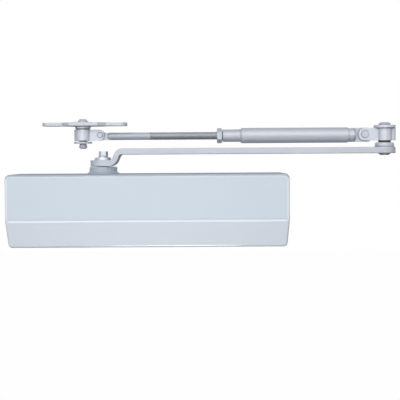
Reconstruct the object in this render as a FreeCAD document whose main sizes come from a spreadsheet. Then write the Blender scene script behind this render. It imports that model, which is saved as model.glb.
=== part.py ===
import FreeCAD, Part
import math
import os
import re
import Sketcher

# Overhead door closer with a folded two-piece arm.
# Millimetres, +Z up, +X along the cover, the door at Y = 0 and the front facing -Y.
# The origin is the middle of the four mounting holes on the door plane.

doc = FreeCAD.newDocument("door_closer")

SIZES = {
    # cover
    "cover_length": 276,
    "cover_height": 71.7,
    "cover_depth": 54,
    "cover_wall": 2.5,
    "crease_height": 26.2,
    "cover_setback": 7,
    "end_taper": 1.8,
    "cover_edge": 3,
    "crease_round": 15,
    "top_corner": 5.5,
    "bottom_corner": 4,
    "door_gap": 0.5,
    "rib_thickness": 3,
    "rib_spacing": 190,
    "snug_gap": 0.15,
    # cast housing
    "spindle_depth": 25,
    "end_room": 7.5,
    "base_height": 52,
    "base_thickness": 5.5,
    "base_corner": 8,
    "barrel_diameter": 46,
    "barrel_inset": 16,
    "bore_diameter": 38,
    "web_height": 34,
    "boss_diameter": 30,
    "hole_edge": 8,
    "mount_hole": 6.5,
    "ridge_diameter": 10,
    "ridge_length": 42,
    "ridge_offset": 15.9,
    # fits
    "press_gap": 0.05,
    "running_gap": 0.1,
    "seal_gap": 0.03,
    # end caps and their seals
    "cap_thickness": 12,
    "cap_recess": 2,
    "groove_depth": 2,
    "groove_width": 2.6,
    "socket_width": 14,
    "socket_depth": 6,
    # spindle bearings
    "spindle_bore": 22,
    "bearing_start": 19.6,
    "bearing_height": 7,
    "shaft_seal_height": 2.6,
    "gland_flange": 26.5,
    "gland_flange_height": 1.1,
    "gland_neck": 22,
    "gland_clearance": 0.4,
    "lower_cap_height": 1.2,
    # speed valves
    "valve_diameter": 5,
    "valve_length": 16,
    "valve_depth": 20,
    "valve_slot": 1,
    "valve_seal": 1.2,
    # rack and pinion
    "tooth_count": 10,
    "tooth_module": 1.8,
    "pressure_angle": 25,
    "addendum": 0.8,
    "dedendum": 1,
    "backlash": 0.2,
    "pinion_face": 36,
    "swing_angle": 180,
    "journal": 15,
    "square_width": 11,
    "bolt_hole_depth": 18,
    # piston and spring
    "piston_gap": 0.1,
    "head_length": 12,
    "seat_length": 18,
    "window_gap": 0.8,
    "cap_clearance": 0.8,
    "check_ball_diameter": 5,
    "check_bore_radius": 10.5,
    "spring_diameter": 34,
    "spring_wire": 4.5,
    "spring_turns": 9,
    # spindle collar
    "collar_gap": 0.1,
    "collar_flange": 31.3,
    "collar_flange_height": 1.9,
    "collar_neck": 28,
    "collar_top_width": 27.2,
    "collar_height": 6.85,
    "collar_wall": 2,
    "slot_gap": 0.3,
    "notch_width": 1.2,
    "notch_depth": 2,
    "notch_angle": 24,
    # main arm
    "arm_length": 280,
    "arm_thickness": 6.2,
    "hub_diameter": 25.6,
    "elbow_diameter": 21.6,
    "hub_gap": 0.4,
    "arm_rise": 11.6,
    "bend_start": 9.2,
    "bend_run": 5,
    "bend_inner": 3,
    "arm_edge": 0.6,
    "arm_washer_diameter": 18.8,
    "arm_washer_slope": 1.2,
    "arm_washer_thickness": 2.7,
    "bolt_width": 8,
    "bolt_head": 4.3,
    "bolt_flange": 9.6,
    "bolt_flange_height": 1.8,
    "bolt_shank": 6,
    "bolt_reach": 14,
    "bolt_turn": 8,
    # elbow joint
    "elbow_pin": 8,
    "elbow_head": 12,
    "elbow_head_height": 2.9,
    "elbow_foot_height": 1.9,
    "elbow_washer": 19,
    "lower_washer_thickness": 2.2,
    "thrust_washer_thickness": 2.2,
    "bush_flange": 12.4,
    "bush_flange_height": 2,
    "elbow_strap_height": 12.3,
    "elbow_barrel": 15,
    "elbow_nose": 11,
    "elbow_reach": 20,
    "elbow_tongue": 26.3,
    "top_washer_diameter": 21.6,
    "top_washer_thickness": 2.6,
    "joint_gap": 0.1,
    # straps shared by both ends of the forearm
    "strap_thickness": 1.8,
    "tang_thickness": 3.2,
    "strap_gap": 0.1,
    "elbow_rivet_head": 7.6,
    "shoe_rivet_head": 5.8,
    "rivet_shank": 4,
    "rivet_head_height": 1.1,
    "rivet_slope": 0.5,
    # forearm
    "forearm_length": 300,
    "plug_start": 29.7,
    "plug_groove_width": 1.4,
    "plug_groove_depth": 1.2,
    "plug_end": 36.6,
    "plug_diameter": 13.8,
    "plug_spigot": 15,
    "tang_start": 14,
    "tang_height": 14,
    "tang_corner": 3,
    "tang_drop": 0.6,
    "tube_diameter": 15.3,
    "tube_wall": 1.5,
    "tube_length": 105.5,
    "tube_neck": 12.4,
    "tube_neck_length": 19.2,
    "tube_shoulder": 1.8,
    "nut_width": 13,
    "nut_thickness": 5,
    "nut_gap": 0.5,
    "nut_chamfer": 0.7,
    "thread_diameter": 8,
    "rod_diameter": 7.4,
    "thread_visible": 66.1,
    "thread_inside": 42,
    "eye_radius": 4.8,
    "eye_lift": 1.2,
    "eye_land": 2.8,
    # frame shoe
    "shoe_strap_height": 11,
    "shoe_barrel": 15.2,
    "shoe_nose": 8.7,
    "shoe_reach": 17.4,
    "shoe_tongue": 21.1,
    "shoe_pin": 6.9,
    "shoe_tip": 8.1,
    "bush_lip": 8.4,
    "ring_drop": 1,
    "ring_diameter": 18,
    "ring_thickness": 1.8,
    "neck_height": 3.6,
    "tip_length": 3.3,
    "wear_washer_diameter": 13.8,
    "wear_washer_thickness": 1,
    "shoe_washer_diameter": 15.6,
    "shoe_washer_thickness": 2.2,
    "pin_collar": 13,
    "plate_drop": 0.3,
    "plate_length": 83.6,
    "plate_shift": 2.1,
    "plate_thickness": 3.2,
    "plate_raise": 0.8,
    "plate_boss": 19.8,
    "plate_width": 30,
    "plate_ear": 18,
    "flare_start": 14,
    "flare_end": 21.5,
    "ear_corner": 6,
    "shoe_hole": 5.5,
    "shoe_hole_spacing": 62,
    "shoe_head": 10.6,
    "shoe_head_height": 2.9,
}

# Places that follow from the sizes: levels along Z, and stations along X.
PLACES = {
    "cover_top": "cover_height / 2",
    "inner_top": "cover_top - cover_wall",
    "crease_level": "crease_height - cover_top",
    "cover_front": "-cover_depth",
    "base_length": "cover_length - (cover_wall + end_room) * 2",
    "hole_spacing": "base_length - hole_edge * 2",
    "hole_rise": "base_height - hole_edge * 2",
    "barrel_length": "base_length - barrel_inset * 2",
    "bore_radius": "bore_diameter / 2",
    "barrel_end": "barrel_length / 2",
    "cap_face": "barrel_end - cap_recess - cap_thickness",
    "cap_radius": "bore_radius - press_gap",
    "seal_start": "bearing_start + bearing_height",
    "gland_start": "seal_start + shaft_seal_height",
    "boss_rise": "inner_top - gland_flange_height - gland_clearance",
    "gland_seat": "boss_rise + gland_flange_height",
    "spindle_front": "-spindle_depth",
    "pitch_radius": "tooth_module * tooth_count / 2",
    "tip_radius": "pitch_radius + addendum * tooth_module",
    "rack_tip": "pitch_radius - addendum * tooth_module",
    "rack_root": "pitch_radius + dedendum * tooth_module",
    "rack_pitch": "pi * tooth_module",
    "piston_travel": "pitch_radius * pi * swing_angle / 180",
    "piston_radius": "bore_radius - piston_gap",
    "window_left": "-(piston_travel + tip_radius + window_gap + 0.7)",
    "window_right": "tip_radius + window_gap + 0.7",
    "piston_left": "window_left - head_length",
    "spindle_place": "cap_clearance - cap_face - piston_left",
    "piston_right": "window_right + seat_length",
    "collar_base": "cover_top + collar_gap",
    "collar_top": "collar_base + collar_height",
    "gland_rise": "collar_top - collar_wall - gland_clearance",
    "hub_bottom": "collar_top + hub_gap",
    "hub_top": "hub_bottom + arm_thickness",
    "washer_top": "hub_top + arm_washer_thickness",
    "arm_bottom": "hub_bottom + arm_rise",
    "arm_top": "arm_bottom + arm_thickness",
    "thrust_level": "arm_top + lower_washer_thickness",
    "bush_level": "thrust_level + thrust_washer_thickness",
    "strap_bottom": "bush_level + bush_flange_height + joint_gap",
    "strap_top": "strap_bottom + elbow_strap_height",
    "top_washer_level": "strap_top + joint_gap * 2",
    "elbow_head_level": "top_washer_level + top_washer_thickness",
    "forearm_level": "strap_bottom + elbow_strap_height / 2 - tang_drop",
    "elbow_place": "spindle_place + arm_length",
    "shoe_place": "elbow_place - forearm_length",
    "leg_inner": "tang_thickness / 2 + strap_gap",
    "leg_outer": "leg_inner + strap_thickness",
    "tube_left": "plug_end + tube_length",
    "neck_left": "tube_left + tube_neck_length",
    "nut_right": "neck_left + nut_gap",
    "nut_left": "nut_right + nut_thickness",
    "thread_left": "nut_left + thread_visible",
    "thread_right": "neck_left - thread_inside",
    "eye_place": "forearm_length - shoe_reach",
    "shoe_strap_top": "forearm_level + eye_lift + shoe_strap_height / 2",
    "shoe_strap_bottom": "shoe_strap_top - shoe_strap_height",
    "wear_top": "shoe_strap_top + joint_gap + wear_washer_thickness",
    "shoe_washer_top": "wear_top + shoe_washer_thickness",
    "ear_bottom": "shoe_washer_top + plate_drop",
    "plate_bottom": "ear_bottom + plate_raise",
    "plate_top": "plate_bottom + plate_thickness",
    "ring_top": "shoe_strap_bottom - ring_drop",
    "ring_bottom": "ring_top - ring_thickness",
    "tip_top": "ring_top - neck_height",
    "tip_bottom": "tip_top - tip_length",
}


def link(text):
    """Point each name in an expression at its cell on one of the two sheets."""

    def cell(match):
        word = match.group(0)
        if word in SIZES:
            return "dims." + word
        return "places." + word if word in PLACES else word

    return re.sub(r"[a-z][a-z_]*", cell, str(text))


def fill(name, rows, prefix):
    """Make one sheet: a name beside each value."""
    sheet = doc.addObject("Spreadsheet::Sheet", name)
    for row, (alias, value) in enumerate(rows.items(), start=1):
        sheet.set(f"A{row}", alias)
        sheet.set(f"B{row}", prefix + (link(value) if prefix else str(value)))
        sheet.setAlias(f"B{row}", alias)
    doc.recompute()
    return sheet


dims = fill("dims", SIZES, "")
places = fill("places", PLACES, "=")
spare = doc.addObject("Spreadsheet::Sheet", "spare")


def now(text):
    """Present value of an expression, read through a spare cell that nothing depends on."""
    spare.set("A1", "=" + link(text))
    spare.recompute()
    return float(spare.get("A1"))


def body_for(label, x="0", y="0", z="0"):
    """A new body whose place is bound to the sheets."""
    body = doc.addObject("PartDesign::Body", label)
    for axis, text in (("x", x), ("y", y), ("z", z)):
        body.setExpression(f"Placement.Base.{axis}", link(text))
    return body


def sketch_on(body, plane, offset="0"):
    """An empty sketch on one of the body's own origin planes, moved along its normal."""
    sketch = body.newObject("Sketcher::SketchObject", "Outline")
    support = [f for f in body.Origin.OriginFeatures if f.Role == plane + "_Plane"][0]
    sketch.AttachmentSupport = [(support, "")]
    sketch.MapMode = "FlatFace"
    sketch.setExpression("AttachmentOffset.Base.z", link(offset))
    return sketch


def bind(sketch, kind, curve, point, text):
    """Fix one coordinate of a point, or one radius, to an expression."""
    if point:
        constraint = Sketcher.Constraint(kind, curve, point, now(text))
    else:
        constraint = Sketcher.Constraint(kind, curve, now(text))
    index = sketch.addConstraint(constraint)
    sketch.setExpression(f"Constraints[{index}]", link(text))


def add_loop(sketch, corners):
    """Closed loop of straight lines with both coordinates of each corner bound."""
    first = sketch.GeometryCount
    spots = [FreeCAD.Vector(now(x), now(y), 0) for x, y in corners]
    count = len(spots)
    for i in range(count):
        sketch.addGeometry(Part.LineSegment(spots[i], spots[(i + 1) % count]), False)
    for i in range(count):
        after = first + (i + 1) % count
        sketch.addConstraint(Sketcher.Constraint("Coincident", first + i, 2, after, 1))
    for i, (x, y) in enumerate(corners):
        bind(sketch, "DistanceX", first + i, 1, x)
        bind(sketch, "DistanceY", first + i, 1, y)


def add_circle(sketch, x, y, radius):
    """Circle with its centre and radius bound."""
    centre = FreeCAD.Vector(now(x), now(y), 0)
    circle = Part.Circle(centre, FreeCAD.Vector(0, 0, 1), now(radius))
    curve = sketch.addGeometry(circle, False)
    bind(sketch, "DistanceX", curve, 3, x)
    bind(sketch, "DistanceY", curve, 3, y)
    bind(sketch, "Radius", curve, 0, radius)


def box_corners(left, right, low, high):
    """Corners of an upright rectangle."""
    return [(left, low), (right, low), (right, high), (left, high)]


def pad(body, sketch, length, middle=False):
    """Grow a sketch along its normal, or evenly to both sides."""
    feature = body.newObject("PartDesign::Pad", "Grow")
    feature.Profile = sketch
    feature.setExpression("Length", link(length))
    feature.Midplane = middle
    doc.recompute()
    return feature


def pocket(body, sketch, length=None, middle=False):
    """Cut a sketch into the body, right through if no length is given."""
    before = body.Shape.Volume
    feature = body.newObject("PartDesign::Pocket", "Cut")
    feature.Profile = sketch
    if length is None:
        feature.Type = "ThroughAll"
    else:
        feature.setExpression("Length", link(length))
    feature.Midplane = middle
    doc.recompute()
    if not feature.isValid() or body.Shape.Volume > before - 0.001:
        feature.Reversed = True
        doc.recompute()
    if body.Shape.Volume > before - 0.001:
        raise RuntimeError(body.Label + " cut removed nothing")
    return feature


def turn(body, corners, axis="V_Axis"):
    """Revolve a profile drawn on the XZ plane about its own axis."""
    sketch = sketch_on(body, "XZ")
    add_loop(sketch, corners)
    feature = body.newObject("PartDesign::Revolution", "Turn")
    feature.Profile = sketch
    feature.ReferenceAxis = (sketch, [axis])
    doc.recompute()
    return feature


def ease(body, radius, test, kind="Fillet"):
    """Round or chamfer the edges of the body that pass a test."""
    base = body.Tip
    edges = enumerate(base.Shape.Edges, start=1)
    names = [f"Edge{i}" for i, edge in edges if test(edge)]
    feature = body.newObject("PartDesign::" + kind, "Ease")
    feature.Base = (base, names)
    feature.setExpression("Radius" if kind == "Fillet" else "Size", link(radius))
    doc.recompute()
    return feature


def ends(edge):
    """Both ends of an edge."""
    return edge.Vertexes[0].Point, edge.Vertexes[-1].Point


def along(edge, axis):
    """Is this a straight edge along one axis?"""
    if edge.Curve.TypeId != "Part::GeomLine":
        return False
    gap = ends(edge)[1] - ends(edge)[0]
    rest = [abs(v) for i, v in enumerate(gap) if i != axis]
    return max(rest) < 0.01 and abs(gap[axis]) > 0.01


def at(edge, axis, value):
    """Does the whole edge lie at one value of one coordinate?"""
    box = edge.BoundBox
    low = (box.XMin, box.YMin, box.ZMin)[axis]
    high = (box.XMax, box.YMax, box.ZMax)[axis]
    return abs(low - value) < 0.02 and abs(high - value) < 0.02


def ringed(edge, radius):
    """Is this a full circle of a given radius?"""
    curve = edge.Curve
    return curve.TypeId == "Part::GeomCircle" and abs(curve.Radius - radius) < 0.01


def ring(label, x, y, z, bore, outside, low, high):
    """A plain turned ring, from low to high along Z."""
    body = body_for(label, x, y, z)
    turn(body, box_corners(bore, outside, low, high))
    return body


# Cast housing: base plate, cylinder, spindle boss and valve ridges, then the bores.
housing = body_for("housing")
sketch = sketch_on(housing, "XZ")
add_loop(sketch, box_corners("-base_length / 2", "base_length / 2", "-base_height / 2", "base_height / 2"))
pad(housing, sketch, "base_thickness")
half_length = now("base_length / 2")
ease(housing, "base_corner", lambda e: along(e, 1) and abs(abs(e.Vertexes[0].X) - half_length) < 0.01)
sketch = sketch_on(housing, "YZ", "-barrel_end")
add_circle(sketch, "spindle_front", "0", "barrel_diameter / 2")
pad(housing, sketch, "barrel_length")
sketch = sketch_on(housing, "YZ", "-barrel_end")
add_loop(sketch, box_corners("spindle_front", "-base_thickness / 2", "-web_height / 2", "web_height / 2"))
pad(housing, sketch, "barrel_length")
sketch = sketch_on(housing, "XY", "-boss_rise")
add_circle(sketch, "spindle_place", "spindle_front", "boss_diameter / 2")
pad(housing, sketch, "boss_rise * 2")
sketch = sketch_on(housing, "YZ", "-barrel_end")
add_circle(sketch, "spindle_front - ridge_offset", "ridge_offset", "ridge_diameter / 2")
add_circle(sketch, "spindle_front - ridge_offset", "-ridge_offset", "ridge_diameter / 2")
pad(housing, sketch, "ridge_length")
sketch = sketch_on(housing, "YZ", "-barrel_end")
add_circle(sketch, "spindle_front", "0", "bore_radius")
pocket(housing, sketch)
sketch = sketch_on(housing, "XY", "-boss_rise")
add_circle(sketch, "spindle_place", "spindle_front", "spindle_bore / 2")
pocket(housing, sketch)
sketch = sketch_on(housing, "YZ", "-barrel_end")
add_circle(sketch, "spindle_front - ridge_offset", "ridge_offset", "valve_diameter / 2")
add_circle(sketch, "spindle_front - ridge_offset", "-ridge_offset", "valve_diameter / 2")
pocket(housing, sketch, "valve_depth")
sketch = sketch_on(housing, "XZ")
for side in ("", "-"):
    for level in ("", "-"):
        add_circle(sketch, side + "hole_spacing / 2", level + "hole_rise / 2", "mount_hole / 2")
pocket(housing, sketch)


def end_cap(label, side):
    """Screwed plug that closes one end of the cylinder, with a seal groove and a hex socket."""
    body = body_for(label, side + "cap_face", "spindle_front")
    if side == "-":
        body.Placement.Rotation = FreeCAD.Rotation(FreeCAD.Vector(0, 0, 1), 180)
    middle = "cap_thickness / 2"
    turn(
        body,
        [
            ("0", "0"),
            ("cap_thickness", "0"),
            ("cap_thickness", "cap_radius - 1"),
            ("cap_thickness - 1", "cap_radius"),
            (middle + " + groove_width / 2", "cap_radius"),
            (middle + " + groove_width / 2", "cap_radius - groove_depth"),
            (middle + " - groove_width / 2", "cap_radius - groove_depth"),
            (middle + " - groove_width / 2", "cap_radius"),
            ("0", "cap_radius"),
        ],
        "H_Axis",
    )
    socket = sketch_on(body, "YZ", "cap_thickness")
    add_loop(socket, hexagon("socket_width"))
    pocket(body, socket, "socket_depth")
    return body


def hexagon(width):
    """Hexagon about the origin with two corners on the second axis."""
    side = f"{width} / 2"
    tall = f"{width} / sqrt(3)"
    half = f"{width} / sqrt(12)"
    return [
        ("0", f"-{tall}"),
        (side, f"-{half}"),
        (side, half),
        ("0", tall),
        (f"-{side}", half),
        (f"-{side}", f"-{half}"),
    ]


left_end_cap = end_cap("left_end_cap", "-")
right_end_cap = end_cap("right_end_cap", "")


def seal_pair(label, section, mean_radius, spots):
    """Two round-section seals about X, kept together as one piece of trim."""
    rings = []
    for x, y, z in spots:
        seal = doc.addObject("Part::Torus", label + "_ring")
        seal.setExpression("Radius1", link(mean_radius))
        seal.setExpression("Radius2", link(section))
        seal.Placement.Rotation = FreeCAD.Rotation(FreeCAD.Vector(0, 1, 0), 90)
        for axis, text in (("x", x), ("y", y), ("z", z)):
            seal.setExpression(f"Placement.Base.{axis}", link(text))
        rings.append(seal)
    group = doc.addObject("Part::Compound", label)
    group.Links = rings
    return group


seal_x = "cap_face + cap_thickness / 2"
end_cap_seals = seal_pair(
    "end_cap_seals",
    "groove_depth / 2 - seal_gap",
    "bore_radius - seal_gap - groove_depth / 2",
    [(f"-({seal_x})", "spindle_front", "0"), (seal_x, "spindle_front", "0")],
)

# Spindle bearings, shaft seals and the two glands that hold them in.
SHAFT = ("spindle_place", "spindle_front", "0")
sleeve = ("journal / 2 + running_gap", "spindle_bore / 2 - press_gap")
upper_bearing = ring("upper_bearing", *SHAFT, *sleeve, "bearing_start", "seal_start - seal_gap")
lower_bearing = ring("lower_bearing", *SHAFT, *sleeve, "-seal_start + seal_gap", "-bearing_start")


def shaft_seal(label, sign):
    """Lip seal on the spindle: a ring with a groove behind its lip."""
    body = body_for(label, *SHAFT)
    lip = "journal / 2 + seal_gap"
    rim = "spindle_bore / 2 - press_gap"
    start = f"{sign}(seal_start + seal_gap)"
    stop = f"{sign}(gland_start - seal_gap)"
    turn(
        body,
        [
            (lip, start),
            (lip + " + 0.9", start),
            (lip + " + 1.5", f"{sign}(seal_start + 1.5)"),
            (rim + " - 1.1", f"{sign}(seal_start + 1.5)"),
            (rim + " - 1.1", start),
            (rim, start),
            (rim, stop),
            (lip, stop),
        ],
    )
    return body


upper_shaft_seal = shaft_seal("upper_shaft_seal", "")
lower_shaft_seal = shaft_seal("lower_shaft_seal", "-")

upper_gland = body_for("upper_gland", *SHAFT)
turn(
    upper_gland,
    [
        ("journal / 2 + running_gap", "gland_start"),
        ("spindle_bore / 2 - press_gap", "gland_start"),
        ("spindle_bore / 2 - press_gap", "boss_rise"),
        ("gland_flange / 2", "boss_rise"),
        ("gland_flange / 2", "gland_seat"),
        ("gland_neck / 2", "gland_seat"),
        ("gland_neck / 2", "gland_rise - 0.6"),
        ("gland_neck / 2 - 0.6", "gland_rise"),
        ("journal / 2 + running_gap", "gland_rise"),
    ],
)
lower_gland = body_for("lower_gland", *SHAFT)
turn(
    lower_gland,
    [
        ("0", "-gland_start - 0.6"),
        ("journal / 2 - 1", "-gland_start - 0.6"),
        ("journal / 2 - 1", "-gland_start"),
        ("spindle_bore / 2 - press_gap", "-gland_start"),
        ("spindle_bore / 2 - press_gap", "-boss_rise"),
        ("gland_flange / 2", "-boss_rise"),
        ("gland_flange / 2", "-boss_rise - lower_cap_height"),
        ("0", "-boss_rise - lower_cap_height"),
    ],
)


def speed_valve(label, sign):
    """Needle screw in a valve ridge: a seal groove, a tapered nose and a driver slot."""
    body = body_for(label, "-barrel_end", "spindle_front - ridge_offset", sign + "ridge_offset")
    radius = "valve_diameter / 2 - running_gap"
    turn(
        body,
        [
            ("0.5", "0"),
            ("0.5", radius),
            ("4", radius),
            ("4", radius + " - valve_seal"),
            ("4 + valve_seal * 1.2", radius + " - valve_seal"),
            ("4 + valve_seal * 1.2", radius),
            ("valve_length - 4", radius),
            ("valve_length", "0.5"),
            ("valve_length", "0"),
        ],
        "H_Axis",
    )
    slot = sketch_on(body, "YZ", "0.5")
    add_loop(slot, box_corners("-valve_slot / 2", "valve_slot / 2", "-valve_diameter", "valve_diameter"))
    pocket(body, slot, "1.2")
    return body


closing_speed_valve = speed_valve("closing_speed_valve", "")
latching_speed_valve = speed_valve("latching_speed_valve", "-")
valve_x = "-barrel_end + 4 + valve_seal * 0.6"
valve_seals = seal_pair(
    "valve_seals",
    "valve_seal / 2 - seal_gap",
    "valve_diameter / 2 - running_gap - valve_seal / 2",
    [
        (valve_x, "spindle_front - ridge_offset", "ridge_offset"),
        (valve_x, "spindle_front - ridge_offset", "-ridge_offset"),
    ],
)

# Cover: a block with the lower front cut back and eased edges, hollowed by a smaller block like it.
def cover_block(label, inset, start):
    """Solid with the cover's outline, moved in by an inset on every side but the back."""
    body = body_for(label)
    reach = f"(cover_length / 2 - {inset})"
    high = f"(cover_top - {inset})"
    front = f"(cover_front + {inset})"
    fold = f"(crease_level + {inset} * 0.2)"
    sketch = sketch_on(body, "XZ", start)
    add_loop(
        sketch,
        [
            (f"-{reach} + end_taper", f"-{high}"),
            (f"{reach} - end_taper", f"-{high}"),
            (reach, fold),
            (reach, high),
            (f"-{reach}", high),
            (f"-{reach}", fold),
        ],
    )
    pad(body, sketch, f"-({front} + {start})")
    top = now(high)
    ease(body, f"top_corner - {inset}", lambda e: along(e, 1) and at(e, 2, top))
    ease(body, f"bottom_corner - {inset}", lambda e: along(e, 1) and at(e, 2, -top))
    sketch = sketch_on(body, "YZ", "-cover_length")
    slope = "cover_setback / crease_height"
    add_loop(
        sketch,
        [
            (front, fold),
            (f"{front} + ({fold} + {high} + 1) * {slope}", f"-{high} - 1"),
            (f"{front} - 1", f"-{high} - 1"),
            (f"{front} - 1", fold),
        ],
    )
    pocket(body, sketch)
    back_y = now(f"-({start})")
    crease = now(fold)

    def is_rim(edge):
        """The edges round the front: top, ends, facet and the arcs between them."""
        if at(edge, 1, back_y) or along(edge, 1):
            return False
        return at(edge, 2, top) or at(edge, 2, -top) if along(edge, 0) else True

    ease(body, f"crease_round - {inset}", lambda e: along(e, 0) and at(e, 2, crease) and at(e, 1, now(front)))
    ease(body, f"cover_edge - {inset}", is_rim)
    return body


cover = cover_block("cover", "0", "door_gap")
hollow = cover_block("cover_hollow", "cover_wall", "-door_gap")
shell = cover.newObject("PartDesign::Boolean", "Hollow")
shell.Type = "Cut"
shell.setObjects([hollow])
doc.recompute()
sketch = sketch_on(cover, "XY", "cover_top - cover_wall - 1")
add_circle(sketch, "spindle_place", "spindle_front", "collar_neck / 2 + slot_gap")
pocket(cover, sketch, "cover_wall + 2")
sketch = sketch_on(cover, "XY", "cover_top - cover_wall - 1")
width = "(collar_neck / 2 + slot_gap)"
add_loop(sketch, box_corners(f"spindle_place - {width}", f"spindle_place + {width}", "spindle_front", "1"))
pocket(cover, sketch, "cover_wall + 2")
for level in ("", "-"):
    sketch = sketch_on(cover, "XZ", "door_gap")
    for side in ("", "-"):
        middle = f"{side}rib_spacing / 2"
        start = f"{level}(base_height / 2 + snug_gap)"
        stop = f"{level}(inner_top + 0.5)"
        low, high = (start, stop) if level == "" else (stop, start)
        add_loop(
            sketch,
            box_corners(f"{middle} - rib_thickness / 2", f"{middle} + rib_thickness / 2", low, high),
        )
    pad(cover, sketch, "base_thickness")

# Collar on the gland, standing through the cover's slot.
spindle_collar = body_for("spindle_collar", *SHAFT)
turn(
    spindle_collar,
    [
        ("gland_neck / 2 + press_gap", "gland_seat + press_gap"),
        ("collar_neck / 2", "gland_seat + press_gap"),
        ("collar_neck / 2", "collar_base"),
        ("collar_flange / 2", "collar_base"),
        ("collar_flange / 2", "collar_base + collar_flange_height - 1"),
        ("collar_neck / 2", "collar_base + collar_flange_height"),
        ("collar_top_width / 2", "collar_top - 0.4"),
        ("collar_top_width / 2 - 0.4", "collar_top"),
        ("journal / 2 + 0.4", "collar_top"),
        ("journal / 2 + 0.4", "collar_top - collar_wall"),
        ("gland_neck / 2 + press_gap", "collar_top - collar_wall"),
    ],
)
sketch = sketch_on(spindle_collar, "XY", "collar_top")
notch = "notch_width / 2"
add_loop(sketch, box_corners(f"-{notch}", notch, "-collar_neck", "-collar_neck / 2 + 1.6"))
sketch.setExpression("AttachmentOffset.Rotation.Angle", link("notch_angle"))
pocket(spindle_collar, sketch, "notch_depth")

# Pinion shaft: involute teeth by formula, two journals, and the square that drives the arm.
def pinion_teeth():
    """Solid of the toothed length: involute flanks, arcs at the tips and roots."""
    count = int(dims.tooth_count)
    pitch = now("pitch_radius")
    angle = math.radians(dims.pressure_angle)
    base = pitch * math.cos(angle)
    tip = now("tip_radius")
    root = pitch - dims.dedendum * dims.tooth_module
    thick = math.pi * dims.tooth_module / 2 - dims.backlash
    involute = math.tan(angle) - angle

    def spot(radius, turned):
        return FreeCAD.Vector(radius * math.cos(turned), radius * math.sin(turned), 0)

    def half_angle(radius):
        local = math.acos(min(1, base / radius))
        return thick / (2 * pitch) + involute - (math.tan(local) - local)

    radii = [base + (tip - base) * i / 6 for i in range(7)]
    edges = []
    step = 2 * math.pi / count
    for tooth in range(count):
        middle = tooth * step
        rising = [spot(r, middle - half_angle(r)) for r in radii]
        falling = [spot(r, middle + half_angle(r)) for r in reversed(radii)]
        foot = half_angle(base)
        start = spot(root, middle - foot)
        stop = spot(root, middle + foot)
        after = spot(root, middle + step - foot)
        edges.append(Part.LineSegment(start, rising[0]).toShape())
        for points in (rising, falling):
            flank = Part.BSplineCurve()
            flank.interpolate(points)
            edges.append(flank.toShape())
            if points is rising:
                crown = Part.Arc(rising[-1], spot(tip, middle), falling[0])
                edges.append(crown.toShape())
        edges.append(Part.LineSegment(falling[-1], stop).toShape())
        valley = Part.Arc(stop, spot(root, middle + step / 2), after)
        edges.append(valley.toShape())
    face = Part.Face(Part.Wire(edges))
    solid = face.extrude(FreeCAD.Vector(0, 0, dims.pinion_face))
    solid.translate(FreeCAD.Vector(0, 0, -dims.pinion_face / 2))
    return solid


def stub(label, radius, low, high):
    """A cylinder on the spindle axis."""
    cylinder = doc.addObject("Part::Cylinder", label)
    cylinder.setExpression("Radius", link(radius))
    cylinder.setExpression("Height", link(f"{high} - ({low})"))
    cylinder.setExpression("Placement.Base.z", link(low))
    return cylinder


teeth = doc.addObject("Part::Feature", "pinion_teeth")
teeth.Shape = pinion_teeth()
square = doc.addObject("Part::Box", "arm_square")
for name in ("Length", "Width"):
    square.setExpression(name, link("square_width"))
square.setExpression("Height", link("arm_thickness - 0.3 + hub_gap / 2"))
square.setExpression("Placement.Base.x", link("-square_width / 2"))
square.setExpression("Placement.Base.y", link("-square_width / 2"))
square.setExpression("Placement.Base.z", link("hub_bottom - hub_gap / 2"))
journals = [
    stub("upper_journal", "journal / 2", "pinion_face / 2", "hub_bottom - hub_gap / 2"),
    stub("lower_journal", "journal / 2", "-gland_start + seal_gap", "-pinion_face / 2"),
]
blank = doc.addObject("Part::MultiFuse", "shaft_blank")
blank.Shapes = [teeth, square, *journals]
bolt_hole = stub("bolt_hole", "bolt_shank / 2 + press_gap", "hub_top - bolt_hole_depth", "hub_top")
pinion_shaft = doc.addObject("Part::Cut", "pinion_shaft")
pinion_shaft.Base = blank
pinion_shaft.Tool = bolt_hole
pinion_shaft.setExpression("Placement.Base.x", link("spindle_place"))
pinion_shaft.setExpression("Placement.Base.y", link("spindle_front"))

# Piston: a closed head, a spring seat, and between them a window with the rack on its back side.
piston = body_for("piston", *SHAFT)
turn(
    piston,
    [
        ("piston_left", "0"),
        ("piston_right", "0"),
        ("piston_right", "piston_radius - 0.8"),
        ("piston_right - 0.8", "piston_radius"),
        ("piston_left + 0.8", "piston_radius"),
        ("piston_left", "piston_radius - 0.8"),
    ],
    "H_Axis",
)
sketch = sketch_on(piston, "XY", "-bore_radius")
add_loop(sketch, box_corners("window_left", "window_right", "-tip_radius - window_gap", "rack_tip"))
pocket(piston, sketch)
sketch = sketch_on(piston, "XY", "-bore_radius")
lean = "tan(pressure_angle * 1deg) * tooth_module"
centre = "-rack_pitch * 6.5"
wide = f"(rack_pitch / 4 + addendum * {lean})"
narrow = f"(rack_pitch / 4 - dedendum * {lean})"
add_loop(
    sketch,
    [
        (f"{centre} - {wide}", "rack_tip"),
        (f"{centre} + {wide}", "rack_tip"),
        (f"{centre} + {narrow}", "rack_root"),
        (f"{centre} - {narrow}", "rack_root"),
    ],
)
gap = pocket(piston, sketch)
rack = piston.newObject("PartDesign::LinearPattern", "Rack")
rack.Originals = [gap]
rack.Direction = (sketch, ["H_Axis"])
rack.Occurrences = 9
rack.setExpression("Length", link("rack_pitch * 8"))
piston.Tip = rack
doc.recompute()
sketch = sketch_on(piston, "YZ", "piston_left")
add_circle(sketch, "0", "check_bore_radius", "check_ball_diameter / 2 + running_gap * 2")
pocket(piston, sketch, "head_length - 4")
sketch = sketch_on(piston, "YZ", "piston_left")
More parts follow.
